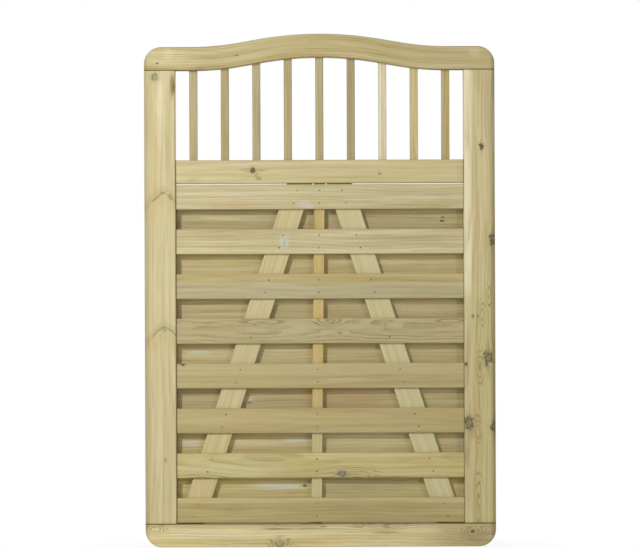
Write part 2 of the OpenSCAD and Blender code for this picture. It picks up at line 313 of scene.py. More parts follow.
def cut(mesh, cutters):
    """The mesh with every cutter taken out of it."""
    points, faces = [], []
    for corner_points, corner_faces in cutters:
        faces += [[len(points) + k for k in face] for face in corner_faces]
        points += corner_points
    tool_mesh = bpy.data.meshes.new("cutters")
    tool_mesh.from_pydata(points, [], faces)
    tool, work = new_object("cutters", tool_mesh), new_object("work", mesh)
    modifier = work.modifiers.new("cut", "BOOLEAN")
    modifier.operation, modifier.solver, modifier.object = "DIFFERENCE", "EXACT", tool
    result = bpy.data.meshes.new_from_object(work.evaluated_get(bpy.context.evaluated_depsgraph_get()))
    bpy.data.objects.remove(work)
    bpy.data.objects.remove(tool)
    return result


# Pieces

def grain_straight(upright, across_mid):
    """Grain coordinates (along, across, depth) of a straight board."""
    if upright:
        return lambda p: (p[2], across_mid - p[0], p[1])
    return lambda p: (p[0], p[2] - across_mid, p[1])


def grain_leaning(head_x, lean):
    """Grain coordinates of a stick that leans outwards by an angle, to +X at its foot."""
    c, s = math.cos(lean), math.sin(lean)
    return lambda p: ((p[2] - MID_RAIL_Z) * c - (p[0] - head_x) * s,
                      -(p[0] - head_x) * c - (p[2] - MID_RAIL_Z) * s, p[1])


def grain_bowed(p):
    """Grain coordinates of the top rail, whose grain follows the bow."""
    return p[0], p[2] - under_z(p[0]) - TOP_RAIL_H / 2, p[1]


def make_piece(name, mesh, grain, material):
    co = np.empty(len(mesh.vertices) * 3, np.float32)
    mesh.vertices.foreach_get("co", co)
    values = np.array([grain(p) for p in co.reshape(-1, 3)], np.float32)
    attribute = mesh.attributes.new("grain", "FLOAT_VECTOR", "POINT")
    attribute.data.foreach_set("vector", values.ravel())
    mesh.polygons.foreach_set("use_smooth", [True] * len(mesh.polygons))
    mesh.set_sharp_from_angle(angle=SHARP_FROM)
    mesh.materials.clear()
    mesh.materials.append(material)
    piece = new_object(name + "_timber", mesh)
    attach(piece, "root")
    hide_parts(name)


def end_eased(points):
    """The same edge with its two ends eased a little where they butt against another timber."""
    (x0, z0, _, nz0), *middle, (x1, z1, _, nz1) = points
    return [(x0, z0, -END_EASE, nz0), *middle, (x1, z1, END_EASE, nz1)]


def straight_board(start, stop, low, high):
    """Upper and lower edge of a straight board along u between two values of v."""
    upper = end_eased(straight((start, high), (stop, high), (0, 1)))
    lower = end_eased(straight((start, low), (stop, low), (0, -1)))
    return upper, lower


def leaning_edges(x_at, width, lean):
    """Edges of a leaning stick in (z, -x), cut level at both ends."""
    c, s = math.cos(lean), math.sin(lean)
    half = width / 2 / c
    foot, head = BOTTOM_RAIL_Z + BUTT_GAP, MID_RAIL_Z - BUTT_GAP
    upper = straight((foot, -x_at(foot) + half), (head, -x_at(head) + half), (-s, c))
    lower = straight((foot, -x_at(foot) - half), (head, -x_at(head) - half), (s, -c))
    return upper, lower


def round_end(z, side):
    return arc(HALF_W - CORNER_R, z - side * CORNER_R, CORNER_R, side * 90, 0, CORNER_STEPS, 1)


def square_end(z, side):
    points = [(HALF_W - CORNER_R * (1 - i / CORNER_STEPS), z, 0.0, side) for i in range(CORNER_STEPS)]
    return points + [(HALF_W, z, 1.0, side)]


def rail_run(start, z, side):
    """A straight run of a rail's edge up to its end piece."""
    return straight((start, z), (HALF_W - CORNER_R, z), (0, side))[:-1]


def make_stile(side):
    low, high = sorted((-side * HALF_W, -side * STILE_X))
    edges = straight_board(BOTTOM_RAIL_Z + BUTT_GAP, TOP_RAIL_Z - BUTT_GAP, low, high)
    mesh = board(edges, HALF_T, FRAME_ARRIS, 1 + side, upright=True)
    groove_x = sorted((side * (STILE_X - SLAT_GROOVE), side * (STILE_X + SLAT_GROOVE)))
    half_groove = SLAT_T / 2 + HOUSING_GAP
    cutters = [box_cutter((groove_x[0], y - half_groove, 0), (groove_x[1], y + half_groove, MID_RAIL_Z))
               for y in (-SLAT_Y, SLAT_Y)]
    cutters += corner_bores(BOTTOM_RAIL_Z, (side,)) + corner_bores(TOP_RAIL_Z, (side,))
    cutters += mid_bores((side,))
    return cut(mesh, cutters)


def mortises(low, top_of):
    """Mortises for the spindles, as deep below low as above top_of(x)."""
    half = SPINDLE_S / 2 + HOUSING_GAP
    return [box_cutter((x - half, -half, low - MORTISE_DEPTH), (x + half, half, top_of(x) + MORTISE_DEPTH))
            for x in SPINDLE_PLACES]


def make_top_rail(seed):
    upper = both_sides(half_bow(0, 1)[:-1] + rail_run(BOW_HALF, SHOULDER_Z, 1) + round_end(SHOULDER_Z, 1))
    lower = both_sides(half_bow(TOP_RAIL_H, -1)[:-1] + rail_run(BOW_HALF, TOP_RAIL_Z, -1)
                       + square_end(TOP_RAIL_Z, -1))
    mesh = board((upper, lower), HALF_T, FRAME_ARRIS, seed)
    return cut(mesh, mortises(TOP_RAIL_Z, under_z) + corner_bores(TOP_RAIL_Z))


def make_mid_rail(seed):
    end = STILE_X - BUTT_GAP
    mesh = board(straight_board(-end, end, MID_RAIL_Z, LIGHT_Z), HALF_T, FRAME_ARRIS, seed)
    return cut(mesh, mortises(LIGHT_Z, lambda x: LIGHT_Z) + mid_bores())


def make_bottom_rail(seed):
    upper = both_sides(rail_run(0, BOTTOM_RAIL_Z, 1) + square_end(BOTTOM_RAIL_Z, 1))
    lower = both_sides(rail_run(0, 0, -1) + round_end(0, -1))
    return cut(board((upper, lower), HALF_T, FRAME_ARRIS, seed), corner_bores(BOTTOM_RAIL_Z))


def make_spindle(x, seed):
    low, high = -x - SPINDLE_S / 2, -x + SPINDLE_S / 2
    edges = straight_board(LIGHT_Z - SPINDLE_HOUSING, under_z(x) + SPINDLE_HOUSING, low, high)
    return board(edges, SPINDLE_S / 2, SMALL_ARRIS, seed, upright=True)


def make_slat(z, front, seed):
    edges = straight_board(-SLAT_HALF_L, SLAT_HALF_L, z - SLAT_H / 2, z + SLAT_H / 2)
    mesh = board(edges, SLAT_T / 2, SLAT_ARRIS, seed, -SLAT_Y if front else SLAT_Y)
    return cut(mesh, slat_nails(z, front))


def make_stick(x_at, width, lean, seed):
    mesh = board(leaning_edges(x_at, width, lean), CORE_HALF_T, SMALL_ARRIS, seed, upright=True)
    return cut(mesh, stick_nails(x_at))


# Materials

def linear(color):
    """Linear colour of an 8-bit sRGB triple."""
    shares = [c / 255 for c in color]
    return tuple(c / 12.92 if c <= 0.04045 else ((c + 0.055) / 1.055) ** 2.4 for c in shares) + (1.0,)


class Nodes:
    """A node tree with short calls for the nodes used here."""

    def __init__(self, tree):
        self.nodes, self.links = tree.nodes, tree.links

    def find(self, kind):
        return next(node for node in self.nodes if node.type == kind)

    def put(self, socket, value):
        if isinstance(value, bpy.types.NodeSocket):
            self.links.new(value, socket)
        else:
            socket.default_value = value

    def call(self, kind, values, **settings):
        node = self.nodes.new(kind)
        for key, value in settings.items():
            setattr(node, key, value)
        for socket, value in values.items():
            self.put(node.inputs[socket], value)
        return node

    def math(self, operation, *values):
        return self.call("ShaderNodeMath", dict(enumerate(values)), operation=operation).outputs[0]

    def times(self, a, b):
        return self.math("MULTIPLY", a, b)

    def minus(self, a, b):
        return self.math("SUBTRACT", a, b)

    def plus(self, base, value, factor=1.0):
        """The base with a value added to it by a factor."""
        return self.math("MULTIPLY_ADD", value, factor, base)

    def vector(self, operation, *values):
        node = self.call("ShaderNodeVectorMath", dict(enumerate(values)), operation=operation)
        return node.outputs["Value" if operation in ("LENGTH", "DOT_PRODUCT") else "Vector"]

    def split(self, point):
        return self.call("ShaderNodeSeparateXYZ", {0: point}).outputs

    def join(self, x, y, z):
        return self.call("ShaderNodeCombineXYZ", {0: x, 1: y, 2: z}).outputs[0]

    def place(self, kind="Object"):
        return self.call("ShaderNodeTexCoord", {}).outputs[kind]

    def noise(self, point, size, detail=2.0, roughness=0.5, output="Fac"):
        """Noise whose features have this size along each axis of the point."""
        point = self.vector("MULTIPLY", point, tuple(1 / s for s in size))
        values = {"Vector": point, "Scale": 1.0, "Detail": detail, "Roughness": roughness}
        return self.call("ShaderNodeTexNoise", values).outputs[output]

    def ramp(self, value, low, high, at_low=0.0, at_high=1.0):
        """A soft ramp that gives at_low up to low and at_high from high on."""
        values = {"Value": value, "From Min": low, "From Max": high, "To Min": at_low, "To Max": at_high}
        return self.call("ShaderNodeMapRange", values, interpolation_type="SMOOTHSTEP").outputs["Result"]

    def mix(self, factor, a, b, blend="MIX"):
        values = {0: factor, 6: a, 7: b}
        return self.call("ShaderNodeMix", values, data_type="RGBA", blend_type=blend).outputs[2]

    def camera_sees(self):
        """1 for rays that look at a thing or at its reflection, 0 for rays that gather light."""
        path = self.call("ShaderNodeLightPath", {}).outputs
        looked_at = self.math("MAXIMUM", path["Is Camera Ray"], path["Is Glossy Ray"])
        return self.math("MAXIMUM", looked_at, path["Is Transmission Ray"])


class Shader(Nodes):
    """A material whose colour is laid on in coats."""

    def __init__(self, name, color=WHITE):
        self.material = bpy.data.materials.new(name)
        self.material.use_nodes = True
        super().__init__(self.material.node_tree)
        self.surface, self.color = self.find("BSDF_PRINCIPLED"), color

    def millimetres(self, point):
        return self.vector("MULTIPLY", point, MM_PER_METRE)

    def tint(self, amount, tone):
        """Covers the colour so far with a tone."""
        self.color = self.mix(amount, self.color, linear(tone))

    def shade(self, amount, factors):
        """Multiplies the colour so far."""
        self.color = self.mix(amount, self.color, factors, "MULTIPLY")

    def finish(self, roughness, specular=0.5):
        """Gives the surface the colour so far, and returns the material."""
        values = {"Base Color": self.color, "Roughness": roughness, "Specular IOR Level": specular}
        for socket, value in values.items():
            self.put(self.surface.inputs[socket], value)
        return self.material


# Tones of pressure-treated pine, from the palest sapwood to the dullest boards
PALE, CREAM, SAGE = (227, 216, 179), (210, 198, 152), (203, 193, 156)
STRAW, MIST, OLIVE = (200, 187, 143), (194, 184, 146), (187, 175, 132)
HONEY, FAWN, DRAB = (193, 180, 129), (182, 168, 121), (173, 162, 124)
AMBER, UMBER, DULL, RUSSET = (193, 172, 118), (178, 163, 117), (163, 153, 117), (176, 146, 98)
LEEK, DUN, CHALK, LINEN = (192, 184, 137), (180, 167, 128), (211, 204, 174), (196, 187, 144)
REED, ASH, GORSE = (199, 188, 148), (175, 167, 134), (188, 177, 112)
KHAKI, WHEAT = (166, 151, 104), (210, 184, 118)
# Stains, blooms and knots on it
BLOOM, SLATE, PINK, MOSS = (196, 199, 190), (168, 170, 148), (202, 180, 144), (160, 155, 104)
LINE, KNOT_GREY, BARK, KNOT_RED = (142, 122, 80), (108, 98, 74), (84, 66, 42), (104, 68, 46)
# How a tone varies: lighter, warmer, greener and colder bands, the late wood of each ring, and painted
# shade on arrises and along lines
LIGHTER, WARMER, GREENER = (1.08, 1.08, 1.10, 1.0), (0.93, 0.87, 0.75, 1.0), (0.88, 0.93, 0.88, 1.0)
COLDER, LATE_WOOD, EDGE_SHADE = (1.07, 1.08, 1.12, 1.0), (0.67, 0.61, 0.50, 1.0), (0.34, 0.31, 0.24, 1.0)
# Nail steel and what bleeds from it, and the hardwood of the dowels
STEEL_DARK, STEEL_LIGHT, RUST = (134, 116, 82), (160, 143, 106), (118, 94, 60)
DOWEL_LIGHT, DOWEL_DARK = (214, 186, 140), (186, 152, 104)

# Knots by kind: tones of the heart, the rings inside it and the halo, strength of the rim, how gnarled
# the outline is, and the length in radii
Knot = namedtuple("Knot", "heart rings halo rim gnarled length")
KNOT_KINDS = {
    "grey": Knot(KNOT_GREY, (160, 148, 112), MOSS, 0.85, 3.4, 1.2),
    "bead": Knot((112, 104, 86), (176, 160, 124), SLATE, 0.75, 1.5, 1.2),
    "brown": Knot(BARK, (128, 100, 62), AMBER, 0.85, 4, 1.3),
    "ring": Knot(BARK, (128, 116, 84), AMBER, 1, 1.2, 0.75),
    "dash": Knot(BARK, (104, 84, 54), AMBER, 0.95, 1, 2.4),
    "red": Knot(KNOT_RED, (126, 90, 60), AMBER, 0.8, 4, 1.3),
    "burl": Knot((146, 136, 104), (190, 180, 142), MOSS, 0.6, 1.4, 1),
    "pale": Knot((150, 141, 110), (192, 182, 146), MOSS, 0.45, 4, 1.3)}
# Its height, the size of its tails and the length of its gnarls in radii, and the rings in a radius
KNOT_HEIGHT, TAIL_LENGTH, TAIL_HEIGHT, GNARL_LENGTH, RINGS_IN_KNOT = 0.9, 6.5, 1.1, 1 / 0.7, 2.3

# Noises in pine: length and width of their features in millimetres, detail, roughness
DRIFT, GNARL_DETAIL = (420, 900, 1), (4, 0.6)
RIPPLE, FLICKER, FIBRE, STREAK = (90, 20), (48, 8, 1), (60, 1.4, 3, 0.6), (34, 2)
BROAD_BAND, FINE_BAND, CLOUD, DAB = (420, 13), (150, 4.5), (90, 16), (50, 3)
RING_FADE, RIM_GAP, LINE_GAP = (240, 12), (9, 6), (16, 8)
SEED_SHIFT = (137, 71, 43)
# Bands over a board's two tones: their noise, from where to where, strength at both ends, what they do
BANDS = ((CLOUD, 0.48, 0.75, 0, 0.8, GREENER), (FINE_BAND, 0.46, 0.7, 0, 0.75, WARMER),
         (FINE_BAND, 0.3, 0.46, 0.6, 0, COLDER))
# How far the ripple and the flicker move outlines, in shares of the mark's size
EYE_RIPPLE, EYE_FLICKER, PATCH_RIPPLE = 0.6, 0.28, 0.9
# Whorls, in millimetres: radius of the point, waviness, where the rings are lifted and by how many
WHORL_ROUND, WHORL_WAVE, WHORL_LOW, WHORL_HIGH, RINGS_LIFTED = 20, 15, -16, 6, 1.5

# Ramps in pine: from where to where, and what they give at both ends where the call doesn't say it
# The last of these ramps sets where the arrises get their painted shade
TWO_TONES, EYE_HEIGHT, PATCH_FADE, SHADE_TURN = (0.3, 0.7), (0, 1), (0.3, 1.25), (0.04, 0.2)
SWERVE, EYE_FIGURE, DABBED = (0.4, 4.2, 0.86, 0), (0.5, 1.3, 1, 0), (0.35, 0.6, 0.65, 1)
WHORL_STAIN, WHORL_EDGE = (-70, -4), (-4, 2, 0.5, 0)
WHORL_BLOOM, WHORL_FADE = (2, 5), (8, 26, 0.4, 0)
WHORL_LINE, WHORL_SIDES, LINE_BROKEN = (0.5, 5, 0.85, 0), (30, 46, 1, 0.3), (0.3, 0.55, 0.35, 1)
LATE_RISE, LATE_FALL, RINGS_SHOWN = (0.3, 0.88), (0.9, 1, 1, 0), (0.3, 0.75, 0.1, 1)
FIBRE_TONE, FIBRE_ROUGH = (0.2, 0.8, 0.92, 1.08), (0.2, 0.8, 0.62, 0.78)
HALO, TAIL_STREAKED, KNOT_RING = (0.8, 2.6, 0.5, 0), (0.42, 0.62), (0.3, 0.9)
KNOT_INSIDE, RIM_RISE, RIM_FALL = (0.6, 1.2, 0.85, 0), (0.4, 0.85), (0.9, 1.35, 1, 0)
RIM_BROKEN, HEART, TAIL = (0.38, 0.6, 0.35, 1), (0.5, 1.7), (0.1, 1)
# Strength of a knot's heart and tails in shares of its rim's, strength of the lines in an eye, and the
# share of a shade line's reach that gets its painted shade in full
HEART_SHARE, TAIL_SHARE, EYE_LINES, SHADE_LINE_CORE = 0.6, 0.75, 0.4, 0.3

# Relief of the grain: its depth, and the heights of fibres, late wood and rims in shares of it
RELIEF, FIBRE_HEIGHT, LATE_HEIGHT, RIM_HEIGHT = 0.3 * MM, 0.5, 0.5, -1.4
BUMP_STRENGTH, PINE_SPECULAR = 0.5, 0.28


class Pine(Shader):
    """Pine with growth rings, seen in grain coordinates (along, across, depth) in millimetres."""

    def __init__(self, name, grain, seed):
        super().__init__(name)
        self.grain = grain
        metres = self.call("ShaderNodeAttribute", {}, attribute_name="grain").outputs["Vector"]
        self.point = self.millimetres(metres)
        self.moved = self.vector("ADD", self.point, tuple(seed * shift for shift in SEED_SHIFT))
        self.along, self.across, self.depth = self.split(self.point)
        self.ripple = self.waver(RIPPLE)
        self.fibre = self.field(FIBRE)

    def grained(self, x, z):
        """Where a place on the gate lies along and across the grain, all in millimetres."""
        along, across, _ = self.grain((x * MM, 0.0, z * MM))
        return along / MM, across / MM

    def oval(self, x, z, half_l, half_h):
        """How far out a point lies round a place on the gate: 1 on an oval of this size."""
        from_middle = self.vector("SUBTRACT", self.point, self.grained(x, z) + (0.0,))
        scale = (1 / half_l, 1 / half_h, 0.0)
        return self.vector("LENGTH", self.vector("MULTIPLY", from_middle, scale))

    def field(self, sizes, output="Fac"):
        """Noise drawn out along the grain, from one of the lists of sizes above."""
        length, width, *texture = sizes
        return self.noise(self.moved, (length, width, width), *texture, output=output)

    def waver(self, sizes):
        return self.minus(self.field(sizes), 0.5)


def grow_rings(s, pith, tilt, wander, wave, knots):
    """Distance from the pith, which wanders along the board, with fibres that swerve round knots."""
    across = s.across
    for x, z, radius, kind in knots:
        reach = s.oval(x, z, KNOT_KINDS[kind].length * radius, KNOT_HEIGHT * radius)
        aside = s.minus(s.across, s.grained(x, z)[1])
        across = s.minus(across, s.times(aside, s.ramp(reach, *SWERVE)))
    drift = s.field(DRIFT, "Color")
    drift_v, drift_w, _ = s.split(s.vector("SUBTRACT", drift, (0.5, 0.5, 0.5)))
    from_v = s.plus(s.minus(across, pith[0]), drift_v, 2 * wander)
    from_w = s.plus(s.minus(s.depth, pith[1]), drift_w, 2 * wander)
    from_w = s.plus(from_w, s.along, tilt)
    s.radius = s.plus(s.vector("LENGTH", s.join(from_v, from_w, 0.0)), s.ripple, wave)


def raise_eyes(s, eyes):
    """Bulges of the rings that the saw has met, which show as closed ovals."""
    s.figure = 0.0
    flicker = s.waver(FLICKER)
    for x, z, half_l, half_h, rise in eyes:
        reach = s.plus(s.oval(x, z, half_l, half_h), s.ripple, EYE_RIPPLE)
        reach = s.plus(reach, flicker, EYE_FLICKER)
        s.radius = s.plus(s.radius, s.ramp(reach, *EYE_HEIGHT, rise, 0.0))
        s.figure = s.math("MAXIMUM", s.figure, s.ramp(reach, *EYE_FIGURE))


def lay_bands(s, tone, vary):
    """Bands of tone along the board."""
    light, warm = ([c * (1 + vary * (k - 1)) for c, k in zip(linear(tone), factors)]
                   for factors in (LIGHTER, WARMER))
    s.color = s.mix(s.ramp(s.field(BROAD_BAND), *TWO_TONES), light, warm)
    for sizes, low, high, at_low, at_high, factors in BANDS:
        s.shade(s.ramp(s.field(sizes), low, high, vary * at_low, vary * at_high), factors)


def lay_strips(s, strips):
    for x0, z0, x1, z1, softness, tone, amount in strips:
        (u0, v0), (u1, v1) = s.grained(x0, z0), s.grained(x1, z1)
        length = math.hypot(u1 - u0, v1 - v0)
        left = ((v0 - v1) / length, (u1 - u0) / length, 0.0)
        inside = s.vector("DOT_PRODUCT", s.vector("SUBTRACT", s.point, (u0, v0, 0.0)), left)
        inside = s.plus(inside, s.ripple, softness)
        s.tint(s.ramp(inside, -softness, softness, 0.0, amount), tone)


def lay_patches(s, patches):
    dabbed = s.ramp(s.field(DAB), *DABBED)
    for x, z, half_l, half_h, tone, amount in patches:
        reach = s.plus(s.oval(x, z, half_l, half_h), s.ripple, PATCH_RIPPLE)
        s.tint(s.times(s.ramp(reach, *PATCH_FADE, amount, 0.0), dabbed), tone)


def lay_whorls(s, whorls, ring):
    """Rings that turn back in a rounded point, stained below it, bloomed above it and outlined."""
    for x, z, slope in whorls:
        u, v = s.grained(x, z)
        aside = s.vector("LENGTH", s.join(s.minus(s.across, v), WHORL_ROUND, 0.0))
        height = s.plus(s.minus(s.along, u), s.minus(aside, WHORL_ROUND), slope)
        height = s.plus(height, s.ripple, WHORL_WAVE)
        lift = s.ramp(height, WHORL_LOW, WHORL_HIGH, 0.0, RINGS_LIFTED * ring)
        s.radius = s.plus(s.radius, lift)
        s.tint(s.times(s.ramp(height, *WHORL_STAIN), s.ramp(height, *WHORL_EDGE)), AMBER)
        s.tint(s.times(s.ramp(height, *WHORL_BLOOM), s.ramp(height, *WHORL_FADE)), MOSS)
        line = s.times(s.ramp(s.math("ABSOLUTE", height), *WHORL_LINE), s.ramp(aside, *WHORL_SIDES))
        s.tint(s.times(line, s.ramp(s.field(LINE_GAP), *LINE_BROKEN)), LINE)


def draw_rings(s, ring, late):
    """Slow early wood, then a darker line of late wood with a sharp outer edge, and the fibres."""
    turn = s.math("FRACT", s.math("DIVIDE", s.radius, ring))
    late_wood = s.times(s.ramp(turn, *LATE_RISE), s.ramp(turn, *LATE_FALL))
    shown = s.times(s.ramp(s.field(RING_FADE), *RINGS_SHOWN), late)
    s.late_wood = s.times(late_wood, s.math("MAXIMUM", shown, s.figure))
    s.shade(s.late_wood, LATE_WOOD)
    s.tint(s.times(s.late_wood, s.times(s.figure, EYE_LINES)), LINE)
    fibre = s.ramp(s.fibre, *FIBRE_TONE)
    s.shade(1.0, s.join(fibre, fibre, fibre))


def draw_knots(s, knots):
    """A broken dark rim, rings inside, a halo, and dark fibres running out of each knot."""
    s.pits = 0.0
    streaks = s.ramp(s.field(STREAK), *TAIL_STREAKED)
    broken = s.ramp(s.field(RIM_GAP), *RIM_BROKEN)
    for x, z, radius, kind in knots:
        knot = KNOT_KINDS[kind]
        gnarl = s.noise(s.moved, (GNARL_LENGTH * radius, radius, radius), *GNARL_DETAIL)
        smooth = s.oval(x, z, knot.length * radius, KNOT_HEIGHT * radius)
        reach = s.plus(smooth, s.minus(gnarl, 0.5), knot.gnarled)
        s.tint(s.ramp(reach, *HALO), knot.halo)
        s.tint(s.ramp(reach, *HEART, HEART_SHARE * knot.rim, 0.0), knot.heart)
        tail = s.oval(x, z, TAIL_LENGTH * radius, TAIL_HEIGHT * radius)
        tail = s.ramp(tail, *TAIL, TAIL_SHARE * knot.rim, 0.0)
        s.tint(s.times(tail, streaks), knot.heart)
        turn = s.math("FRACT", s.times(reach, RINGS_IN_KNOT))
        inside = s.mix(s.ramp(turn, *KNOT_RING), linear(knot.heart), linear(knot.rings))
        s.color = s.mix(s.ramp(reach, *KNOT_INSIDE), s.color, inside)
        rim = s.times(s.times(s.ramp(reach, *RIM_RISE), s.ramp(reach, *RIM_FALL)), broken)
        s.tint(s.times(rim, knot.rim), BARK)
        s.pits = s.plus(rim, s.pits)


def paint_edge_shade(s, arris, shade_lines):
    """Painted shade: darker arrises where the surface turns away from the front, and darker bands along
    lines.
    """
    front = s.math("ABSOLUTE", s.split(s.place("Normal"))[1])
    turned = s.times(front, s.minus(1.0, front))
    s.shade(s.ramp(turned, *SHADE_TURN, 0.0, arris), EDGE_SHADE)
    axes = s.split(s.millimetres(s.place()))
    for axis, position, reach, amount in shade_lines:
        off = s.math("ABSOLUTE", s.minus(axes[axis], position))
        s.shade(s.ramp(off, SHADE_LINE_CORE * reach, reach, amount, 0.0), EDGE_SHADE)


def emboss(s):
    """Raised fibres and late wood, and rims of knots that have sunk."""
    height = s.plus(s.times(s.fibre, FIBRE_HEIGHT), s.late_wood, LATE_HEIGHT)
    height = s.plus(height, s.pits, RIM_HEIGHT)
    bump = s.call("ShaderNodeBump", {"Strength": BUMP_STRENGTH, "Distance": RELIEF, "Height": height})
    s.put(s.surface.inputs["Normal"], bump.outputs[0])


def pine(name, grain, seed, tone, ring=8, pith=(60, 40), tilt=0, wander=14, wave=5,
         late=0.5, vary=1, arris=0.36, knots=(), whorls=(), eyes=(), patches=(), strips=(), shade_lines=()):
    """Pine of a tone, with rings this far apart round a pith at (across, depth).

    In millimetres of the gate: knots are (x, z, radius, kind), whorls (x, z, slope), eyes
    (x, z, half length, half height, rise), patches (x, z, half length, half height, tone,
    strength), strips (x0, z0, x1, z1, softness, tone, strength) left of that line, and
    shade_lines (axis, position, reach, strength), bands of painted shade; arris is the
    strength of the painted shade on the arrises."""
    s = Pine(name, grain, seed)
    grow_rings(s, pith, tilt, wander, wave, knots)
    raise_eyes(s, eyes)
    lay_bands(s, tone, vary)
    lay_strips(s, strips)
    lay_patches(s, patches)
    lay_whorls(s, whorls, ring)
    draw_rings(s, ring, late)
    draw_knots(s, knots)
    paint_edge_shade(s, arris, shade_lines)
    emboss(s)
    return s.finish(s.ramp(s.fibre, *FIBRE_ROUGH), PINE_SPECULAR)


# Steel and dowels: sizes of their noises in millimetres, and their ramps
SPECKLE, NAIL_BY_NAIL, DOWEL_STREAK = (1 / 1.3,) * 3, (40, 40, 40), (3, 3, 30)
STEEL_TONES, STEEL_RUSTED, STEEL_ROUGH = (0.35, 0.7), (0.4, 0.6, 0.0, 0.8), (0.3, 0.7, 0.6, 0.8)
DOWEL_TONES, DOWEL_ROUGH, STEEL_SPECULAR = (0.3, 0.7), (0.3, 0.7, 0.55, 0.7), 0.3


def steel(name):
    """Zinc-coated nail steel, dulled, with brown bleeding in places."""
    s = Shader(name)
    point = s.millimetres(s.place())
    speckle = s.noise(point, SPECKLE, 3.0)
    s.color = s.mix(s.ramp(speckle, *STEEL_TONES), linear(STEEL_DARK), linear(STEEL_LIGHT))
    s.tint(s.ramp(s.noise(point, NAIL_BY_NAIL, 1.0), *STEEL_RUSTED), RUST)
    return s.finish(s.ramp(speckle, *STEEL_ROUGH), STEEL_SPECULAR)


def dowel_wood(name):
    """Turned hardwood for the dowels inside the joints."""
    s = Shader(name)
    streaks = s.noise(s.millimetres(s.place()), DOWEL_STREAK, 3.0)
    s.color = s.mix(s.ramp(streaks, *DOWEL_TONES), linear(DOWEL_LIGHT), linear(DOWEL_DARK))
    return s.finish(s.ramp(streaks, *DOWEL_ROUGH))


# What each timber looks like, as seen in the photograph

# Painted shade in lines: where the stiles butt the rails, at the slats' ends in the stiles' shadow, and on
# the slats' arrises
STILE_SHADE_LINES = (("Z", 60, 2.6, 0.7), ("Z", 1225, 2.2, 0.6))
LEFT_END_SHADE, RIGHT_END_SHADE = ("X", -370, 3.8, 0.85), ("X", 370, 3.0, 0.6)
SLAT_SHADE_LINES, SLAT_ARRIS_SHADE = (LEFT_END_SHADE, RIGHT_END_SHADE), 0.12
